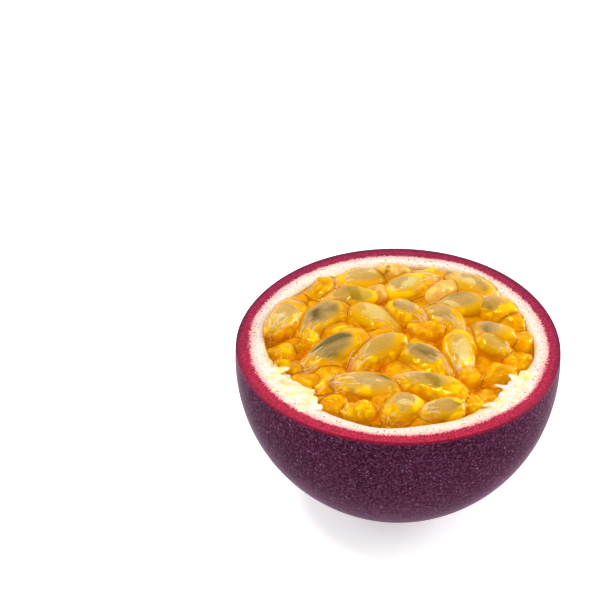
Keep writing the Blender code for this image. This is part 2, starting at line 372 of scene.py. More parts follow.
def dress(piece, slot, node, *materials, crease=None):
    """Gives a piece its finish and its place in the frame. Edges past the crease angle stay sharp."""
    piece.data.materials.clear()
    for made in materials:
        piece.data.materials.append(made)
    work_on(piece)
    if crease is None:
        bpy.ops.object.shade_smooth()
    else:
        bpy.ops.object.shade_smooth_by_angle(angle=math.radians(crease))
    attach(piece, "root")
    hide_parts(node)


def node(tree, kind, inputs=(), **settings):
    """Adds a shader node. Its inputs go by name or in order, and each is a value or what to link."""
    made = tree.nodes.new("ShaderNode" + kind)
    for key, value in settings.items():
        setattr(made, key, value)
    return wire(tree, made, inputs)


def wire(tree, made, inputs):
    """Sets a node's inputs: a socket or a node's first output is linked, anything else is a value."""
    for key, value in inputs.items() if isinstance(inputs, dict) else enumerate(inputs):
        source = shown(value.outputs, 0) if isinstance(value, bpy.types.Node) else value
        if isinstance(source, bpy.types.NodeSocket):
            tree.links.new(source, shown(made.inputs, key))
        else:
            shown(made.inputs, key).default_value = rgba(source) if isinstance(source, Color) else source
    return made


def shown(sockets, key):
    """A node's socket by name or number, among those that the node shows."""
    in_use = [each for each in sockets if each.enabled]
    return in_use[key] if isinstance(key, int) else next(each for each in in_use if each.name == key)


def rgba(colour):
    return (*colour, 1.0)


def new_material(name):
    """A material, its node tree and its shader."""
    made = bpy.data.materials.new(name)
    made.use_nodes = True
    return made, made.node_tree, made.node_tree.nodes["Principled BSDF"]


def set_stops(ramp, stops):
    """Gives a colour ramp these stops, each a position and a colour."""
    while len(ramp.elements) < len(stops):
        ramp.elements.new(1.0)
    for element, (position, shade) in zip(ramp.elements, stops):
        element.position, element.color = position, rgba(shade)


def patches(tree, size, low, high):
    """A pattern of soft patches about this large: 0 between them and 1 inside."""
    place = node(tree, "TexCoord").outputs["Object"]
    cloud = node(tree, "TexNoise", {"Vector": place, "Scale": 1 / size, "Detail": 3.0})
    return node(tree, "MapRange", (cloud, low, high))


def relief(tree, size, detail, strength, depth):
    """A fine uneven relief with forms of this size and depth."""
    place = node(tree, "TexCoord").outputs["Object"]
    forms = node(tree, "TexNoise", {"Vector": place, "Scale": 1 / size, "Detail": detail})
    return node(tree, "Bump", {"Strength": strength, "Distance": depth, "Height": forms})


def waxed_rind(colours):
    """Skin of a purple passion fruit: smooth, tough and waxy, so it shines softly over a fine fleck."""
    cloud_size, mottle_size, fleck_spacing = 9.0 * MM, 0.40 * MM, 0.62 * MM
    made, tree, shader = new_material("waxed_rind_skin")
    place = node(tree, "TexCoord").outputs["Object"]
    axes = node(tree, "SeparateXYZ", (place,)).outputs
    rough = {"Vector": place, "Roughness": 0.6}
    cloud = node(tree, "TexNoise", {**rough, "Scale": 1 / cloud_size, "Detail": 5.0})
    shade = node(tree, "MapRange", (cloud, 0.3, 0.7, 0.7, 1.25))
    skin = node(tree, "HueSaturation", {"Color": colours.skin, "Value": shade})

    # The bloom shows more strongly low down, as painted light from the floor
    mottle = node(tree, "TexNoise", {**rough, "Scale": 1 / mottle_size, "Detail": 2.0})
    low = node(tree, "MapRange", (axes["Z"], 16.0 * MM, 0.0, 0.0, 0.2))
    raised = node(tree, "Math", (mottle, low), operation="ADD")
    bloom_and_floor_light = node(tree, "MapRange", (raised, 0.45, 0.68, 0.0, 0.72))
    dusted = node(tree, "Mix", (bloom_and_floor_light, skin, colours.bloom_and_floor_light), data_type="RGBA")

    # Each fleck has its own size and strength
    flecks = node(tree, "TexVoronoi", {"Vector": place, "Scale": 1 / fleck_spacing}).outputs
    lot = node(tree, "SeparateColor", (flecks["Color"],)).outputs
    size = node(tree, "MapRange", (lot["Red"], 0.0, 1.0, 0.06, 0.30))
    inside = node(tree, "Math", (size, flecks["Distance"]), operation="SUBTRACT")
    soft = node(tree, "MapRange", (inside, 0.0, 0.10))
    strength = node(tree, "MapRange", (lot["Green"], 0.0, 1.0, 0.2, 0.9))
    shows = node(tree, "Math", (soft, strength), operation="MULTIPLY")
    flecked = node(tree, "Mix", (shows, dusted, colours.fleck), data_type="RGBA")

    # The crimson shows through the last of the skin under the cut, in front
    near_cut = node(tree, "MapRange", (axes["Z"], CUT_HEIGHT - 0.8 * MM, CUT_HEIGHT, 0.0, 0.85))
    front = node(tree, "MapRange", (axes["Y"], 0.0, -20.0 * MM))
    thin = node(tree, "Math", (near_cut, front), operation="MULTIPLY")
    wire(tree, shader, {
        "Base Color": node(tree, "Mix", (thin, flecked, colours.rim), data_type="RGBA"),
        "Normal": relief(tree, size=0.5 * MM, detail=2.0, strength=0.12, depth=0.05 * MM),
        "Roughness": 0.40,
        "Specular IOR Level": 0.01,
        "Sheen Weight": 0.20,
        "Sheen Roughness": 0.22,
        "Sheen Tint": (0.92, 0.50, 0.84, 1.0),
    })
    return made


def cut_peel(colours, rind):
    """The cut through rind and pith: a crimson band, then dry, faintly fibrous white pith."""
    drawn_depth, grain_size = 5.0, 0.26  # in the attributes' millimetres
    sponge_size = 0.7 * MM
    made, tree, shader = new_material("cut_rind_and_pith")
    depth = node(tree, "Attribute", attribute_name="below_skin").outputs["Fac"]
    grain = node(tree, "Attribute", attribute_name="grain").outputs["Vector"]
    place = node(tree, "TexCoord").outputs["Object"]
    away = node(tree, "SeparateXYZ", (place,)).outputs["Y"]

    # The layers, from the skin inwards, with a ragged edge between them
    rough = {"Vector": grain, "Scale": 1 / grain_size, "Detail": 3.0, "Roughness": 0.7}
    ragged = node(tree, "TexNoise", rough)
    shift = node(tree, "MapRange", (ragged, 0.3, 0.7, -0.3, 0.3))
    moved = node(tree, "Math", (depth, shift), operation="ADD")
    layer = node(tree, "MapRange", (moved, 0.0, drawn_depth))
    layers = node(tree, "ValToRGB", (layer,))
    edge = rind / MM / drawn_depth
    set_stops(layers.color_ramp, (
        (0.0, colours.crimson),
        (edge - 0.05, colours.crimson),
        (edge + 0.01, colours.blush),
        (edge + 0.07, colours.flush),
        (edge + 0.20, colours.pith),
    ))

    # The band is riper at the back and grainy. It is darkest at the skin: the skin's own dark cut edge, with
    # painted shade along the outer edge, more towards the back
    back = node(tree, "MapRange", (away, -18.0 * MM, 16.0 * MM, 0.0, 0.75))
    in_band = node(tree, "MapRange", (layer, edge + 0.02, edge - 0.03))
    riper = node(tree, "Math", (back, in_band), operation="MULTIPLY")
    ripe = node(tree, "Mix", (riper, layers, colours.magenta), data_type="RGBA")
    grit = node(tree, "MapRange", (ragged, 0.38, 0.62, 0.4, 1.5))
    grainy = node(tree, "HueSaturation", {"Color": ripe, "Value": grit})
    gritty = node(tree, "Mix", (in_band, ripe, grainy), data_type="RGBA")
    outer = node(tree, "MapRange", (depth, 1.1, 0.0))
    fading = node(tree, "MapRange", (away, -22.0 * MM, 0.0, 0.15, 0.9))
    skin_edge_and_shade = node(tree, "Math", (outer, fading), operation="MULTIPLY")
    edged = node(tree, "Mix", (skin_edge_and_shade, gritty, colours.edge), data_type="RGBA")

    # The pith is stained by juice, spongy and specked
    stained = node(tree, "Mix", (juice_stain(tree, depth), edged, colours.stain), data_type="RGBA")
    sponge = {"Vector": place, "Scale": 1 / sponge_size, "Detail": 4.0, "Roughness": 0.7}
    tone = node(tree, "MapRange", (node(tree, "TexNoise", sponge), 0.35, 0.62, 0.82, 1.0))
    toned = node(tree, "HueSaturation", {"Color": stained, "Value": tone})
    wire(tree, shader, {
        "Base Color": node(tree, "Mix", (specks(tree, place, depth), toned, colours.speck), data_type="RGBA"),
        "Normal": relief(tree, size=0.35 * MM, detail=3.0, strength=0.6, depth=0.14 * MM),
        "Roughness": 0.6,
        "Specular IOR Level": 0.2,
        "Subsurface Weight": 0.15,
        "Subsurface Radius": (1.0, 0.6, 0.4),
        "Subsurface Scale": 0.5 * MM,
    })
    return made


def juice_stain(tree, depth):
    """Where juice has soaked into the pith: in patches, next to the pulp. The depth is in millimetres."""
    inner = node(tree, "MapRange", (depth, 3.7, 4.8))
    soaked = patches(tree, size=2.2 * MM, low=0.36, high=0.55)
    return node(tree, "Math", (soaked, inner), operation="MULTIPLY")


def specks(tree, place, depth):
    """Tiny brown vessel ends, thickest along a ring in the pith. The depth is in millimetres."""
    speck_spacing = 0.34 * MM
    scattered = node(tree, "TexNoise", {"Vector": place, "Scale": 1 / speck_spacing, "Detail": 1.0})
    spot = node(tree, "MapRange", (scattered, 0.60, 0.66, 0.0, 0.8))
    begins = node(tree, "MapRange", (depth, 2.3, 2.6))
    ends = node(tree, "MapRange", (depth, 4.6, 3.2))
    on_ring = node(tree, "Math", (begins, ends), operation="MULTIPLY")
    return node(tree, "Math", (spot, on_ring), operation="MULTIPLY")


def ripe_flesh(colours):
    """Flesh of the sacs under their clear jelly: it glows yellow with painted light and deepens to orange as
    painted shade in its creases.
    """
    streak_size, fold_size = 0.42, 2.4  # in the grain's millimetres
    made, tree, shader = new_material("ripe_yellow_flesh")
    kind = node(tree, "Attribute", attribute_name="tint").outputs
    grain = node(tree, "Attribute", attribute_name="grain").outputs["Vector"]
    crease, shaded_flank, stalk, lot = (
        node(tree, "Attribute", attribute_name=name).outputs["Fac"]
        for name in ("crease", "shaded_flank", "stalk", "lot")
    )
    along = node(tree, "Mapping", {"Vector": grain, "Scale": (0.22, 1.0, 1.0)})
    fine = {"Vector": along, "W": lot, "Scale": 1 / streak_size, "Detail": 3.0, "Roughness": 0.6}
    streaks = node(tree, "TexNoise", fine, noise_dimensions="4D")
    soft = {"Vector": grain, "W": lot, "Scale": 1 / fold_size, "Detail": 2.0, "Distortion": 0.9}
    cloud = node(tree, "TexNoise", soft, noise_dimensions="4D")

    # Orange as painted shade where the flesh lies low, in its creases and on its lower sides and behind each
    # fold, and also in patches; yellow on the crests as painted highlight
    fold = node(tree, "Math", (node(tree, "Math", (cloud, 5.0), operation="MULTIPLY"),), operation="FRACT")
    patch = node(tree, "MapRange", (cloud, 0.36, 0.64, -0.38, 0.38))
    folded = node(tree, "Math", (fold, 0.5, patch), operation="MULTIPLY_ADD")
    flank_and_fold_shade = node(tree, "Math", (shaded_flank, 0.5, folded), operation="MULTIPLY_ADD", use_clamp=True)
    painted_shade = node(tree, "Math", (crease, flank_and_fold_shade), operation="MAXIMUM")
    sunk = node(tree, "Math", (painted_shade, kind["Alpha"]), operation="MULTIPLY")
    body = node(tree, "Mix", (sunk, kind["Color"], colours.deep_shade), data_type="RGBA")
    crest = node(tree, "MapRange", (fold, 0.18, 0.02, 0.0, 0.55))
    crested = node(tree, "Mix", (crest, body, colours.crest), data_type="RGBA")
    lines = node(tree, "MapRange", (streaks, 0.3, 0.7, 0.84, 1.12))
    light = node(tree, "MapRange", (cloud, 0.36, 0.62, 1.10, 0.80))
    shade = node(tree, "Math", (lines, light), operation="MULTIPLY")
    shaded = node(tree, "HueSaturation", {"Color": crested, "Value": shade})

    # A thin olive line of painted shade where two sacs meet, and pale threads at the stalk
    seam_shade = node(tree, "MapRange", (crease, 0.86, 0.97, 0.0, 0.95))
    cloudy = node(tree, "MapRange", (cloud, 0.38, 0.66))
    partly = node(tree, "MapRange", (cloudy, 0.0, 1.0, 0.35, 1.0))
    seam_shade_here = node(tree, "Math", (seam_shade, partly), operation="MULTIPLY")
    with_outline_shade = node(tree, "Mix", (seam_shade_here, shaded, colours.outline), data_type="RGBA")
    thread = node(tree, "MapRange", (streaks, 0.52, 0.62, 0.0, 0.6))
    at_stalk = node(tree, "Math", (thread, stalk), operation="MULTIPLY")
    wire(tree, shader, {
        "Base Color": node(tree, "Mix", (at_stalk, with_outline_shade, colours.fibre), data_type="RGBA"),
        "Roughness": 0.4,
        "Specular IOR Level": 0.0,
        "Subsurface Weight": 0.4,
        "Subsurface Radius": (1.0, 0.8, 0.12),
        "Subsurface Scale": 0.4 * MM,
        # Painted light: the flesh glows a little, though it is no lamp
        "Emission Color": colours.glow,
        "Emission Strength": 0.22,
    })
    return made


def clear_jelly(colours):
    """Clear wet jelly over the flesh and seeds: it bends light, shines, and yellows with depth."""
    made, tree, shader = new_material("clear_wet_jelly")
    wire(tree, shader, {
        "Base Color": colours.jelly,
        "Normal": relief(tree, size=0.9 * MM, detail=2.0, strength=0.45, depth=0.09 * MM),
        "Roughness": 0.04,
        "IOR": 1.35,
        "Specular Tint": (1.0, 0.76, 0.10, 1.0),
        "Transmission Weight": 1.0,
    })
    absorb = node(tree, "VolumeAbsorption", {"Color": (1.0, 0.90, 0.25, 1.0), "Density": 150.0})
    wire(tree, tree.nodes["Material Output"], {"Volume": absorb})
    return made


def seed_coat(colours):
    """Seed coat: hard, smooth and finely pitted, cream to olive in patches that are partly painted shade and
    painted highlight, with yellow flesh on its rim.
    """
    # In the grain's millimetres. Real pits are about half as large, and wouldn't show.
    patch_size, pit_size, streak_size = 7.0, 0.26, 0.40
    made, tree, shader = new_material("olive_seed_coat")
    lot = node(tree, "Attribute", attribute_name="lot").outputs["Fac"]
    rim = node(tree, "Attribute", attribute_name="rim").outputs["Fac"]
    grain = node(tree, "Attribute", attribute_name="grain").outputs["Vector"]
    soft = {"Vector": grain, "W": lot, "Scale": 1 / patch_size, "Detail": 1.5, "Distortion": 0.9}
    cloud = node(tree, "TexNoise", soft, noise_dimensions="4D")
    shades = node(tree, "ValToRGB", (cloud,))
    # The coat's own patches, with painted shade in the dark ones and painted highlight in the pale ones
    set_stops(shades.color_ramp, (
        (0.39, colours.seed_dark_and_shade),
        (0.48, colours.seed),
        (0.56, colours.seed_warm),
        (0.62, colours.seed_pale),
    ))
    pits = node(tree, "TexNoise", {"Vector": grain, "Scale": 1 / pit_size, "Detail": 1.0})
    speckle = node(tree, "MapRange", (pits, 0.3, 0.7, 0.80, 1.14))
    pitted = node(tree, "HueSaturation", {"Color": shades, "Value": speckle})
    fold = node(tree, "Math", (node(tree, "Math", (cloud, 5.0), operation="MULTIPLY"),), operation="FRACT")
    shade = node(tree, "MapRange", (fold, 0.0, 1.0, 1.10, 0.80))
    folded = node(tree, "HueSaturation", {"Color": pitted, "Value": shade})

    # Yellow flesh veils the rim, and some whole seeds a little, and the underside is orange as painted shade
    uneven = node(tree, "MapRange", (cloud, 0.3, 0.7, -0.2, 0.2))
    edge = node(tree, "Math", (rim, uneven), operation="ADD")
    over = node(tree, "MapRange", (edge, 0.44, 0.90), interpolation_type="SMOOTHSTEP")
    own = node(tree, "Math", (lot,), operation="FRACT")
    sunk = node(tree, "MapRange", (own, 0.45, 1.0, 0.0, 0.5))
    veil = node(tree, "Math", (over, sunk), operation="MAXIMUM")
    veiled = node(tree, "Mix", (veil, folded, colours.ripe), data_type="RGBA")
    under = node(tree, "MapRange", (rim, 0.90, 1.15))
    mixed = node(tree, "Mix", (under, veiled, colours.deep_shade), data_type="RGBA")

    # A thin olive line of painted shade along the far side of the rim, broken in places
    normal = node(tree, "SeparateXYZ", (node(tree, "TexCoord").outputs["Normal"],))
    far_side = node(tree, "MapRange", (normal.outputs["Y"], 0.0, 0.4))
    begins = node(tree, "MapRange", (rim, 0.76, 0.84))
    ends = node(tree, "MapRange", (rim, 0.94, 0.87))
    here = node(tree, "MapRange", (cloud, 0.40, 0.56, 0.0, 0.7))
    line = far_side
    for part in (begins, ends, here):
        line = node(tree, "Math", (line, part), operation="MULTIPLY")
    lined = node(tree, "Mix", (line, mixed, colours.outline), data_type="RGBA")

    # Pale threads run out from the stalk end
    length = node(tree, "SeparateXYZ", (grain,)).outputs["X"]
    at_stalk = node(tree, "MapRange", (length, -0.6, -4.0))
    along = node(tree, "Mapping", {"Vector": grain, "Scale": (0.18, 1.0, 1.0)})
    fine = {"Vector": along, "W": lot, "Scale": 1 / streak_size, "Detail": 2.0}
    streaks = node(tree, "TexNoise", fine, noise_dimensions="4D")
    threads = node(tree, "MapRange", (streaks, 0.48, 0.62, 0.0, 0.8))
    pale = node(tree, "Math", (threads, at_stalk), operation="MULTIPLY")
    wire(tree, shader, {
        "Base Color": node(tree, "Mix", (pale, lined, colours.fibre), data_type="RGBA"),
        "Roughness": 0.4,
        "Specular IOR Level": 0.0,
        "Subsurface Weight": 0.4,
        "Subsurface Radius": (1.0, 0.7, 0.3),
        "Subsurface Scale": 0.5 * MM,
        # Painted light: the seeds glow a little, though they are no lamp
        "Emission Color": colours.glow,
        "Emission Strength": 0.04,
    })
    return made


def white_pith(colours):
    """Torn white pith: spongy and dry, with a little yellow juice soaked in."""
    made, tree, shader = new_material("torn_white_pith")
    soaked = patches(tree, size=1.6 * MM, low=0.42, high=0.62)
    wire(tree, shader, {
        "Base Color": node(tree, "Mix", (soaked, colours.pith, colours.stain), data_type="RGBA"),
        "Normal": relief(tree, size=0.35 * MM, detail=3.0, strength=0.5, depth=0.08 * MM),
        "Roughness": 0.5,
        "Subsurface Weight": 0.4,
        "Subsurface Radius": (1.0, 0.8, 0.6),
        "Subsurface Scale": 0.5 * MM,
    })
    return made


def pale_fibre(colours):
    """Wet plant fibre: white to cream, soft and a little see-through."""
    made, tree, shader = new_material("pale_wet_fibre")
    soaked = patches(tree, size=1.4 * MM, low=0.40, high=0.64)
    wire(tree, shader, {
        "Base Color": node(tree, "Mix", (soaked, colours.fibre, colours.stain), data_type="RGBA"),
        "Roughness": 0.3,
        "Subsurface Weight": 0.5,
        "Subsurface Radius": (1.0, 0.8, 0.5),
        "Subsurface Scale": 0.4 * MM,
    })
    return made


def juicy_bed(colours):
    """The bed under the sacs: dense wet pulp, orange all through."""
    made, tree, shader = new_material("orange_pulp")
    wire(tree, shader, {
        "Base Color": colours.bed,
        "Roughness": 0.2,
        "Subsurface Weight": 0.5,
        "Subsurface Radius": (1.0, 0.5, 0.1),
        "Subsurface Scale": 2.0 * MM,
    })
    return made


class Sac:
    """Where one seed sac lies and how large it is."""

    thickness_share, bow_share = 0.80, 0.16  # of half its width
    most_shift, most_tilt = 0.45 * MM, 13.0
    torn_drop = 0.6  # how far it sinks beside torn pith, as a share of the pith's reach
    # How plump and raised a sac is, and how much narrower at its stalk: a seed fills it out
    with_seed, without_seed = (1.07, 0.15 * MM, 0.20), (1.0, -0.2 * MM, 0.24)

    def __init__(self, form, row, drop, shake):
        across, away, heading, length, width, self.kind, self.seed_at = row
        stout, raised, self.taper = self.without_seed if self.seed_at is None else self.with_seed
        self.half_length, self.half_width = length * MM / 2 * stout, width * MM / 2 * stout
        self.thickness = self.half_width * self.thickness_share
        off_middle = math.hypot(across, away) * MM / form.cavity
        back = CUT_HEIGHT + form.back_at_wall + form.crown * (1.0 - off_middle**2)
        torn = float(swelling(np.arctan2(away, across))) * off_middle**3
        back += shake.uniform(-self.most_shift, self.most_shift) - drop - self.torn_drop * torn + raised
        self.middle = Vector((across * MM, away * MM, back - self.thickness))
        tilt = math.radians(shake.uniform(-self.most_tilt, self.most_tilt))
        self.turn = Matrix.Rotation(math.radians(heading), 3, "Z") @ Matrix.Rotation(tilt, 3, "Y")
        self.bow = shake.choice((-1.0, 1.0)) * self.bow_share * self.half_width

    def slim(self, along):
        """The sac narrows towards its stalk at -1."""
        return 1.0 - self.taper * smooth_step((0.4 - along) / 1.4)

    def unit(self, points):
        """Takes points near this sac back to where they would be on the unit sac."""
        local = (points - np.array(self.middle)) @ np.array(self.turn)
        along = local[:, 0] / self.half_length
        slim = self.slim(along)
        side = (local[:, 1] - self.bow * (along * along - 0.4)) / (self.half_width * slim)
        return np.column_stack((along, side, local[:, 2] / (self.thickness * slim)))

    def place(self, points):
        """Takes points of a unit sac, with its thick end at +X, to where they are in this one."""
        along, side, up = points.T
        slim = self.slim(along)
        shaped = np.column_stack(
            (
                along * self.half_length,
                side * slim * self.half_width + self.bow * (along * along - 0.4),
                up * slim * self.thickness,
            )
        )
        return shaped @ np.array(self.turn).T + np.array(self.middle)


def sacs_on_top(form, shake):
    return [Sac(form, row, 0.0, shake) for row in SACS_ON_TOP]


def sacs_in_bed(form, shake):
    """A second layer in the gaps, set out evenly like the seeds of a sunflower."""
    count, length, width, drop = 27, 9.0, 6.0, 1.5 * MM
    golden_angle, most_turn = 137.5, 60.0
    reach = form.cavity / MM - width / 2
    for number in range(count):
        out = reach * math.sqrt((number + 0.5) / count)
        angle = math.radians(golden_angle * number)
        heading = math.degrees(angle) + shake.uniform(-most_turn, most_turn)
        row = (out * math.cos(angle), out * math.sin(angle), heading, length, width, "amber", None)
        yield Sac(form, row, drop, shake)


def all_sacs(form):
    shake = random.Random(5)
    return sacs_on_top(form, shake), list(sacs_in_bed(form, shake))


def unit_sac():
    """A plump oval along X, blunter at both ends than an ellipse."""
    bluntness = 2.7
    made = add_sphere("unit_sac", segments=28, rings=20)
    points = points_of(made)[:, [2, 1, 0]] * (1.0, 1.0, -1.0)
    along = points[:, 0]
    fuller = np.sqrt((1.001 - np.abs(along) ** bluntness) / (1.001 - along * along))
    set_points(made, points * np.column_stack((np.ones(len(fuller)), fuller, fuller)))
    return made


class FRUIT_OT_peel(bpy.types.Operator):
    """Models the rind and pith: a thick cup, cut flat, with a rounded lip and torn pith inside"""

    bl_idname = "fruit.peel"
    bl_label = "Rind and Pith"
    on_skin = 0.02 * MM  # points this near the skin belong to it
    grain_stretch = 0.7  # the band's ragged edge is drawn out a little, inwards

    def execute(self, context):
        form = Form(context.scene.fruit_sizes)
        peel = add_sphere("rind_and_pith", segments=240, rings=120)
        bpy.ops.object.mode_set(mode="EDIT")
        stretch((form.radius, form.radius, form.depth), form.widest)
        cut_at(0.0, clear_inner=True, use_fill=True)
        bpy.ops.mesh.select_all(action="SELECT")
        cut_at(CUT_HEIGHT, clear_outer=True)
        self.extrude_inside(form)
        bpy.ops.mesh.select_all(action="SELECT")
        bpy.ops.mesh.normals_make_consistent(inside=False)
        bpy.ops.object.mode_set(mode="OBJECT")
        points = points_of(peel)
        radius, _ = polar(points)
        level = (form.widest - points[:, 2]) / form.depth
        below_skin = np.maximum(0.0, form.radius * np.sqrt(np.clip(1.0 - level**2, 0.0, 1.0)) - radius)
        below_skin[below_skin < self.on_skin] = 0.0
        warped = form.uneven(points)
        set_points(peel, warped)
        self.roughen(peel, form, warped, below_skin)
        set_attribute(peel, "below_skin", (below_skin + np.maximum(0.0, radius - polar(warped)[0])) / MM)
        round_rim = warped[:, :2] / np.maximum(polar(warped)[0], MM)[:, None] * form.radius / MM
        inwards = (below_skin + warped[:, 2]) / MM * self.grain_stretch
        set_vector(peel, "grain", np.column_stack((round_rim, inwards)))
        colours = context.scene.fruit_colours
        dress(peel, "rind", "peel", waxed_rind(colours), cut_peel(colours, form.rind), crease=40.0)
        for face in peel.data.polygons:
            face.material_index = int(max(below_skin[corner] for corner in face.vertices) > 0.0)
        foot = min(peel.data.polygons, key=lambda face: face.center.z)
        foot.material_index = 0
        return {"FINISHED"}

    def roughen(self, peel, form, points, below_skin):
        """Gives the cut pith a soft relief, and tears it where it swells into the cavity."""
        dry_from, face = 0.6 * MM, 0.2 * MM
        full_swelling, pith_from = 1.6 * MM, 1.6 * form.rind
        torn_from, torn_to, fades_over = 0.25 * MM, 2.0 * MM, 3.0 * MM
        _, angle = polar(points)
        under_cut = CUT_HEIGHT - points[:, 2]
        dry = smooth_step((below_skin - form.rind) / dry_from) * (under_cut < face)
        torn = smooth_step(swelling(angle) / full_swelling) * (below_skin > pith_from)
        torn *= smooth_step(under_cut / torn_from) * smooth_step(1.0 - (under_cut - torn_to) / fades_over)
        # Each relief's place, size in mm, detail, strength in mm, middle level and direction
        add_group(peel, "dry", dry)
        add_group(peel, "torn", torn)
        for group, size, detail, strength, level, direction in (
            ("dry", 0.8, 2, 0.16, 0.6, "Z"),
            ("torn", 1.6, 3, 2.2, 0.55, "Z"),
            ("torn", 1.1, 2, 1.0, 0.45, "NORMAL"),
        ):
            uneven = clouds("uneven pith", size * MM, detail)
            modify(peel, "DISPLACE", texture=uneven, strength=strength * MM, mid_level=level,
                   vertex_group=group, direction=direction)
        peel.vertex_groups.clear()

    def extrude_inside(self, form):
        """Draws the open edge at the cut inwards over the cut and the lip, then down the cavity."""
        bpy.ops.mesh.select_mode(type="VERT")
        bpy.ops.mesh.select_all(action="DESELECT")
        bpy.ops.mesh.select_non_manifold(
            use_wire=False, use_multi_face=False, use_non_contiguous=False, use_verts=False
        )
        level = (form.widest - CUT_HEIGHT) / form.depth
        radius, height = form.radius * math.sqrt(1.0 - level * level), CUT_HEIGHT
        for next_radius, next_height in self.inside_profile(form, radius):
            share = next_radius / radius
            bpy.ops.mesh.extrude_region_move()
            stretch((share, share, 1.0), next_height - height)
            radius, height = next_radius, next_height
        bpy.ops.mesh.edge_face_add()

    def inside_profile(self, form, edge):
        """Radii and heights across the cut, round the lip, and down the cavity to its bottom."""
        ring_steps, lip_steps, wall_steps = 36, 12, 60
        bunching = 1.6  # the steps are closest just under the lip
        lip_foot = float(form.wall(CUT_HEIGHT - form.lip))
        for step in range(1, ring_steps + 1):
            yield edge + (lip_foot + form.lip - edge) * step / ring_steps, CUT_HEIGHT
        for step in range(1, lip_steps + 1):
            angle = math.pi / 2 * step / lip_steps
            across, down = 1.0 - math.sin(angle), 1.0 - math.cos(angle)
            yield lip_foot + form.lip * across, CUT_HEIGHT - form.lip * down
        start = math.asin((CUT_HEIGHT - form.lip - form.widest) / form.cavity_depth)
        for step in range(1, wall_steps):
            angle = start - (start + math.pi / 2) * (step / wall_steps) ** bunching
            yield form.cavity * math.cos(angle), form.widest + form.cavity_depth * math.sin(angle)


class FRUIT_OT_bed(bpy.types.Operator):
    """Models the orange bed that fills the cup under the sacs"""

    bl_idname = "fruit.bed"
    bl_label = "Pulp Bed"

    def execute(self, context):
        form = Form(context.scene.fruit_sizes)
        bed = add_sphere("pulp_bed", segments=128, rings=64)
        bpy.ops.object.mode_set(mode="EDIT")
        radius = form.cavity - form.gap
        stretch((radius, radius, form.cavity_depth - form.gap), form.widest)
        cut_at(CUT_HEIGHT - BED_BELOW_CUT, clear_outer=True, use_fill=True)
        bpy.ops.object.mode_set(mode="OBJECT")
        set_points(bed, form.uneven(points_of(bed)))
        dress(bed, "pulp", "pulp", juicy_bed(context.scene.fruit_colours), crease=40.0)
        return {"FINISHED"}


def off_each(points, sacs):
    """How far points are outside each sac, in metres."""
    out = np.array([np.linalg.norm(sac.unit(points), axis=1) for sac in sacs])
    return (out - 1.0) * np.array([[sac.half_width] for sac in sacs])


def heap_of_sacs(form, name, sacs, scale, pool_level, voxel):
    """Joins a copy of every sac, and the pool between them, into one closed skin."""
    master = unit_sac()
    unit = points_of(master)
    copies = [pool(form, pool_level)]
    for number, sac in enumerate(sacs):
        made = copy_of(master, f"sac_{number:02d}")
        set_points(made, sac.place(unit * scale(sac)))
        copies.append(made)
    remove(master)
    heap = join(name, copies)
    modify(heap, "REMESH", mode="VOXEL", voxel_size=voxel, use_smooth_shade=True)
    return heap


def pool(form, level):
    """What fills the gaps between the sacs, up to a level below the cut."""
    made = add_sphere("pool", segments=96, rings=48)
    bpy.ops.object.mode_set(mode="EDIT")
    stretch((form.cavity, form.cavity, form.cavity_depth), form.widest)
    for depth, side in ((level, "clear_outer"), (POOL_BELOW_CUT, "clear_inner")):
        bpy.ops.mesh.select_all(action="SELECT")
        cut_at(CUT_HEIGHT - depth, use_fill=True, **{side: True})
    bpy.ops.object.mode_set(mode="OBJECT")
    set_points(made, form.uneven(points_of(made)))
    return made


def soften(heap, sacs, turns):
    """Rounds the creases between the sacs, as jelly clings there."""
    crease_width, elsewhere = 0.9 * MM, 0.15
    ordered = np.sort(off_each(points_of(heap), sacs), axis=0)
    crease = 1.0 - smooth_step((ordered[1] - ordered[0]) / crease_width)
    add_group(heap, "crease", elsewhere + (1.0 - elsewhere) * crease)
    modify(heap, "SMOOTH", factor=0.6, iterations=turns, vertex_group="crease")
    heap.vertex_groups.clear()


def swell(heap, sacs, fold_depth, voxel):
    """Makes the sacs uneven and folded, most of all those without a seed, as nothing stiffens them."""
    blend, firm = 0.5 * MM, 0.22
    near = off_each(points_of(heap), sacs)
    pull = np.exp((near.min(axis=0) - near) / blend)
    give = np.array([1.0 if sac.seed_at is None else firm for sac in sacs])
    add_group(heap, "soft", (give @ pull) / pull.sum(axis=0))
    shared = {"mid_level": 0.5, "vertex_group": "soft"}
    swollen, folded = clouds("swell", 3.4 * MM, 1), clouds("folds", 1.8 * MM, 2, "HARD_NOISE")
    modify(heap, "DISPLACE", texture=swollen, strength=1.7 * MM, **shared)
    modify(heap, "DISPLACE", texture=folded, strength=fold_depth, **shared)
    heap.vertex_groups.clear()
    modify(heap, "REMESH", mode="VOXEL", voxel_size=voxel, use_smooth_shade=True)


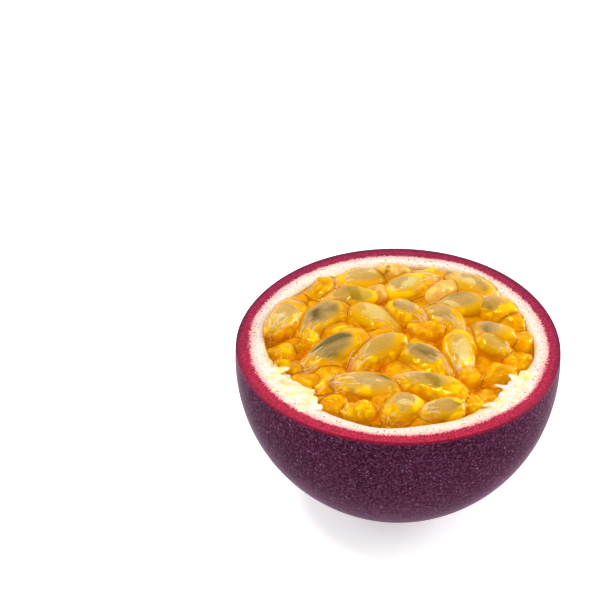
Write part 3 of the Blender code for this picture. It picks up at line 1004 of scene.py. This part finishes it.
class FRUIT_OT_flesh(bpy.types.Operator):
    """Models the flesh of the sacs, creased where they meet"""

    bl_idname = "fruit.flesh"
    bl_label = "Sac Flesh"

    def execute(self, context):
        form = Form(context.scene.fruit_sizes)
        top, bed = all_sacs(form)
        sacs = top + bed
        voxel = 0.28 * MM
        flesh = heap_of_sacs(form, "sac_flesh", sacs, self.share, pool_level=2.4 * MM, voxel=voxel)
        soften(flesh, sacs, turns=2)
        swell(flesh, sacs, fold_depth=1.2 * MM, voxel=voxel)
        points = form.hold_inside(points_of(flesh), clear=0.6)
        set_points(flesh, points)
        self.mark(flesh, points, sacs)
        dress(flesh, "pulp", "pulp", ripe_flesh(context.scene.fruit_colours))
        return {"FINISHED"}

    def share(self, sac):
        """The flesh is most of a sac, and one with a seed has more clear jelly over it."""
        return (0.95, 0.94, 0.91) if sac.seed_at is None else (0.95, 0.94, 0.82)

    def mark(self, flesh, points, sacs):
        """Stores what the colours follow: the sac's kind, its creases and hollows and its lower side, where
        shade is painted on the flesh, and its length.
        """
        blend, crease_width, hollow = 0.25 * MM, 1.3 * MM, 0.6 * MM
        near = off_each(points, sacs)
        ordered = np.sort(near, axis=0)
        owner = near.argmin(axis=0)
        shake = random.Random(11)
        grain, stalk, lot = np.empty((len(points), 3)), np.zeros(len(points)), np.empty(len(points))
        shaded_flank = np.empty(len(points))
        for number, sac in enumerate(sacs):
            mine = owner == number
            unit = sac.unit(points[mine])
            grain[mine] = unit * (sac.half_length, sac.half_width, sac.thickness) / MM
            lot[mine] = shake.uniform(0.0, 90.0)
            # Painted shade: the lower side of each sac is coloured deeper orange
            shaded_flank[mine] = 1.0 - smooth_step((unit[:, 2] + 0.2) / 1.1)
            stalk[mine] = smooth_step((-0.45 - unit[:, 0]) / 0.4) * (sac.seed_at is not None)
        pull = np.exp(-(near - ordered[0]) / blend)
        pull /= pull.sum(axis=0)
        tint = pull.T @ np.array([linear(JELLY_KINDS[sac.kind]) for sac in sacs])
        # Painted shade: the creases between the sacs and the hollows among them are coloured deeper orange
        crease = 1.0 - smooth_step((ordered[1] - ordered[0]) / crease_width)
        crease = np.maximum(crease, smooth_step(ordered[0] / hollow))
        made = flesh.data.attributes.new("tint", "FLOAT_COLOR", "POINT")
        # How much of the painted shade shows: half as much on the peach sacs
        shows_deep_shade = pull.T @ np.array([0.5 if sac.kind == "peach" else 1.0 for sac in sacs])
        made.data.foreach_set("color", np.column_stack((tint, shows_deep_shade)).ravel().astype(np.float32))
        set_vector(flesh, "grain", grain)
        for name, values in (("crease", crease), ("stalk", stalk), ("lot", lot), ("shaded_flank", shaded_flank)):
            set_attribute(flesh, name, values)


class FRUIT_OT_jelly(bpy.types.Operator):
    """Models the clear wet jelly that covers the flesh and the seeds"""

    bl_idname = "fruit.jelly"
    bl_label = "Jelly"

    def execute(self, context):
        form = Form(context.scene.fruit_sizes)
        top, bed = all_sacs(form)
        sacs, voxel = top + bed, 0.26 * MM
        jelly = heap_of_sacs(form, "sac_jelly", sacs, self.share, pool_level=1.2 * MM, voxel=voxel)
        soften(jelly, sacs, turns=4)
        swell(jelly, sacs, fold_depth=0.9 * MM, voxel=voxel)
        set_points(jelly, form.hold_inside(points_of(jelly), clear=-0.3))
        dress(jelly, "pulp", "pulp", clear_jelly(context.scene.fruit_colours))
        return {"FINISHED"}

    def share(self, sac):
        """The jelly is all of the sac."""
        return 1.0, 1.0, 1.0


class FRUIT_OT_seeds(bpy.types.Operator):
    """Models the seeds that show, each with the flesh round its rim, one in each of the larger sacs"""

    bl_idname = "fruit.seeds"
    bl_label = "Seeds"

    def execute(self, context):
        form = Form(context.scene.fruit_sizes)
        master = add_sphere("unit_seed", segments=32, rings=20)
        unit = points_of(master)[:, [2, 1, 0]] * (1.0, 1.0, -1.0)
        top, _ = all_sacs(form)
        shake = random.Random(17)
        fits = (0.86, 0.84, 0.82)  # the most of its sac that a seed takes up
        top_at = 0.90  # how far up in its sac a seed's top lies
        copies = []
        for number, sac in enumerate(top):
            if sac.seed_at is None:
                continue
            made = copy_of(master, f"seed_{number:02d}")
            most = np.array((sac.half_length, sac.half_width, sac.thickness))
            size = np.minimum(SEED_HALF, most * fits)
            inside = unit * size / most
            inside += (sac.seed_at * 0.5, shake.uniform(-0.08, 0.08), top_at - size[2] / most[2])
            set_points(made, form.hold_inside(sac.place(inside), clear=1.5))
            set_vector(made, "grain", unit * size / MM)
            set_attribute(made, "rim", np.hypot(unit[:, 0], unit[:, 1]) + 0.8 * np.maximum(0.0, -unit[:, 2]))
            set_attribute(made, "lot", np.full(len(unit), shake.uniform(0.0, 90.0)))
            copies.append(made)
        remove(master)
        seeds = join("seeds", copies)
        work_on(seeds)
        bpy.ops.object.mode_set(mode="EDIT")
        bpy.ops.mesh.select_all(action="SELECT")
        bpy.ops.mesh.normals_make_consistent(inside=False)
        bpy.ops.object.mode_set(mode="OBJECT")
        dress(seeds, "seed", "pulp", seed_coat(context.scene.fruit_colours))
        return {"FINISHED"}


def strand(name, route, radius, sides=6, flat=1.0, taper=0.5):
    """A thin fibre along a route of points, which narrows to its far end."""
    bpy.ops.object.select_all(action="DESELECT")
    steps = len(route) - 1
    bpy.ops.mesh.primitive_cylinder_add(vertices=sides, radius=1.0, depth=1.0, end_fill_type="TRIFAN")
    made = bpy.context.active_object
    made.name = made.data.name = name
    bpy.ops.object.mode_set(mode="EDIT")
    for step in range(1, steps):
        bpy.ops.mesh.select_all(action="SELECT")
        cut_at(step / steps - 0.5)
    bpy.ops.object.mode_set(mode="OBJECT")
    points = points_of(made)
    share = np.clip(points[:, 2] + 0.5, 0.0, 1.0)
    route, knots = np.array(route), np.arange(steps + 1)
    centre = np.column_stack([np.interp(share * steps, knots, route[:, axis]) for axis in range(3)])
    ahead = Vector(route[-1] - route[0]).normalized()
    beside = np.array(ahead.cross(Vector((0.0, 0.0, 1.0))).normalized())
    above = np.array(ahead.cross(Vector(beside)).normalized())
    width = radius * (1.02 - share)[:, None] ** taper
    set_points(made, centre + width * (points[:, :1] * beside + points[:, 1:2] * above * flat))
    return made


def drop_on(tree, across, away):
    """The height of a surface at this place, or the cut's where there is none."""
    hit = tree.ray_cast(Vector((across, away, 0.1)), Vector((0.0, 0.0, -1.0)))[0]
    return CUT_HEIGHT if hit is None else hit.z


class FRUIT_OT_threads(bpy.types.Operator):
    """Models the pale threads that hold each sac at its stalk, spread over the wet jelly"""

    bl_idname = "fruit.threads"
    bl_label = "Threads"

    def execute(self, context):
        form = Form(context.scene.fruit_sizes)
        top, _ = all_sacs(form)
        surface = BVHTree.FromObject(bpy.data.objects["sac_jelly"], context.evaluated_depsgraph_get())
        shake = random.Random(23)
        steps, gather, sunk = 6, 0.45, 0.01 * MM
        bundles = (0, 3, 7)  # how many threads a stalk may show
        made = []
        for sac in top:
            if sac.seed_at is None:
                continue
            for _ in range(shake.choice(bundles)):
                begin, end = shake.uniform(-0.2, -0.75), shake.uniform(-0.9, -1.15)
                spread = shake.uniform(-0.75, 0.75)
                route = []
                for step in range(steps + 1):
                    along = begin + (end - begin) * step / steps
                    wave = 0.05 * math.sin(step * 1.3 + spread * 9.0)
                    side = spread * (1.0 - gather * step / steps) + wave
                    place = sac.place(np.array([[along, side, 0.5]]))[0]
                    place[:2] = form.hold_inside(place[None, :], clear=3.0)[0][:2]
                    route.append((*place[:2], drop_on(surface, *place[:2]) - sunk))
                made.append(strand(f"thread_{len(made):03d}", route, shake.uniform(0.03, 0.07) * MM))
        threads = join("pulp_threads", made)
        dress(threads, "pulp", "pulp", pale_fibre(context.scene.fruit_colours))
        return {"FINISHED"}


class FRUIT_OT_torn_pith(bpy.types.Operator):
    """Models the torn plates and tongues of white pith that lie over the edge of the pulp"""

    bl_idname = "fruit.torn_pith"
    bl_label = "Torn Pith"

    def execute(self, context):
        surface = BVHTree.FromObject(bpy.data.objects["sac_jelly"], context.evaluated_depsgraph_get())
        sides, flat = 16, 0.24  # how thick a tongue is for its width
        least_rise, over_jelly = 0.1 * MM, 0.05 * MM
        shares = np.linspace(0.0, 1.0, 9)
        made = []
        for number, (root_x, root_y, tip_x, tip_y, half_width, sharpness) in enumerate(PITH_TONGUES):
            across = (root_x + (tip_x - root_x) * shares) * MM
            away = (root_y + (tip_y - root_y) * shares) * MM
            over = np.mean([drop_on(surface, *place) for place in zip(across[4:], away[4:])])
            rise = max(least_rise, over - CUT_HEIGHT + over_jelly)
            thick = flat * half_width * MM * (1.02 - shares) ** sharpness
            level = CUT_HEIGHT + rise * shares**0.6 - thick
            route = np.column_stack((across, away, level))
            made.append(strand(f"tongue_{number}", route, half_width * MM, sides, flat, sharpness))
        tongues = join("torn_pith", made)
        modify(tongues, "REMESH", mode="VOXEL", voxel_size=0.16 * MM, use_smooth_shade=True)
        modify(tongues, "DISPLACE", texture=clouds("torn", 0.9 * MM, 3), strength=0.6 * MM, mid_level=0.5)
        modify(tongues, "SMOOTH", factor=0.4, iterations=1)
        dress(tongues, "pith", "peel", white_pith(context.scene.fruit_colours))
        return {"FINISHED"}


class FRUIT_OT_stage(bpy.types.Operator):
    """Sets up the pale floor, the soft studio light and the camera"""

    bl_idname = "fruit.stage"
    bl_label = "Stage"

    def execute(self, context):
        scene = context.scene
        bpy.ops.object.select_all(action="DESELECT")
        bpy.ops.mesh.primitive_plane_add(size=6.0)
        floor = context.active_object
        floor.name = "studio_floor"
        made, tree, shader = new_material("white_paper")
        white, paper = rgba(linear("#FFFFFF")), rgba(linear("#FAFAFA"))
        glow = {"Emission Color": white, "Emission Strength": 0.45}
        wire(tree, shader, {"Base Color": paper, "Roughness": 0.9, **glow})
        floor.data.materials.append(made)
        world = bpy.data.worlds.new("white_studio")
        world.use_nodes = True
        sky = world.node_tree
        wire(sky, sky.nodes["Background"], {"Color": white, "Strength": 0.65})
        scene.world = world
        target = Vector((0.0, 0.0, CUT_HEIGHT))
        # Each light's name, its place and side in metres, and its watts
        for name, place, size, power in (
            ("key_softbox", (-0.30, -0.05, 0.62), 0.16, 2.0),
            ("right_softbox", (0.50, 0.15, 0.40), 0.20, 0.8),
            ("left_rim", (-0.45, 0.22, 0.10), 0.30, 1.5),
            ("right_rim", (0.45, 0.22, 0.10), 0.30, 2.9),
        ):
            light = bpy.data.lights.new(name, "AREA")
            light.size, light.energy = size, power
            lamp = bpy.data.objects.new(name, light)
            lamp.location = place
            lamp.rotation_euler = (target - lamp.location).to_track_quat("-Z", "Y").to_euler()
            scene.collection.objects.link(lamp)
        view = scene.view_settings
        view.view_transform, view.look, view.exposure, view.gamma = "Standard", "None", 0.0, 1.0
        self.add_camera(scene)
        return {"FINISHED"}

    def add_camera(self, scene):
        """Looks down at the cut as in the photograph, where its middle is right of and below the centre."""
        image, focal_pixels = 600, 5610.0
        across, down = 98.78, 43.86  # pixels from the picture's centre to the cut's middle
        elevation, roll, reach = math.radians(37.0), math.radians(1.752), 0.9
        back = Vector((0.0, -math.cos(elevation), math.sin(elevation)))
        right, up = Vector((1.0, 0.0, 0.0)), Vector((0.0, math.sin(elevation), math.cos(elevation)))
        turned = Matrix(
            (
                right * math.cos(roll) + up * math.sin(roll),
                up * math.cos(roll) - right * math.sin(roll),
                back,
            )
        ).transposed()
        offset = Vector((across, -down, -focal_pixels)).rotation_difference(Vector((0.0, 0.0, -1.0)))
        lens = bpy.data.cameras.new("camera")
        lens.sensor_width = 36.0
        lens.lens = focal_pixels / image * lens.sensor_width
        camera = bpy.data.objects.new("camera", lens)
        camera.rotation_mode = "QUATERNION"
        camera.rotation_quaternion = turned.to_quaternion() @ offset
        camera.location = Vector((0.0, 0.0, CUT_HEIGHT)) + back * reach
        scene.collection.objects.link(camera)
        scene.camera = camera


class FRUIT_PT_panel(bpy.types.Panel):
    """Lists the steps that make the half"""

    bl_idname = "FRUIT_PT_panel"
    bl_label = "Passion Fruit"
    bl_space_type = "VIEW_3D"
    bl_region_type = "UI"
    bl_category = "Passion Fruit"

    def draw(self, context):
        layout = self.layout
        for group in (context.scene.fruit_sizes, context.scene.fruit_colours):
            for key in group.__annotations__:
                layout.prop(group, key)
        for step in STEPS:
            layout.operator(step.bl_idname)


STEPS = (FRUIT_OT_stage, FRUIT_OT_peel, FRUIT_OT_bed, FRUIT_OT_flesh, FRUIT_OT_seeds, FRUIT_OT_jelly,
         FRUIT_OT_threads, FRUIT_OT_torn_pith)
CLASSES = (FruitSizes, FruitColours, *STEPS, FRUIT_PT_panel)


def register():
    for each in CLASSES:
        bpy.utils.register_class(each)
    bpy.types.Scene.fruit_sizes = bpy.props.PointerProperty(type=FruitSizes)
    bpy.types.Scene.fruit_colours = bpy.props.PointerProperty(type=FruitColours)


def unregister():
    del bpy.types.Scene.fruit_colours
    del bpy.types.Scene.fruit_sizes
    for each in reversed(CLASSES):
        bpy.utils.unregister_class(each)


def main():
    register()
    bpy.ops.fruit.stage()
    bpy.ops.fruit.peel()
    bpy.ops.fruit.bed()
    bpy.ops.fruit.flesh()
    bpy.ops.fruit.seeds()
    bpy.ops.fruit.jelly()
    bpy.ops.fruit.threads()
    bpy.ops.fruit.torn_pith()


if __name__ == "__main__":
    main()
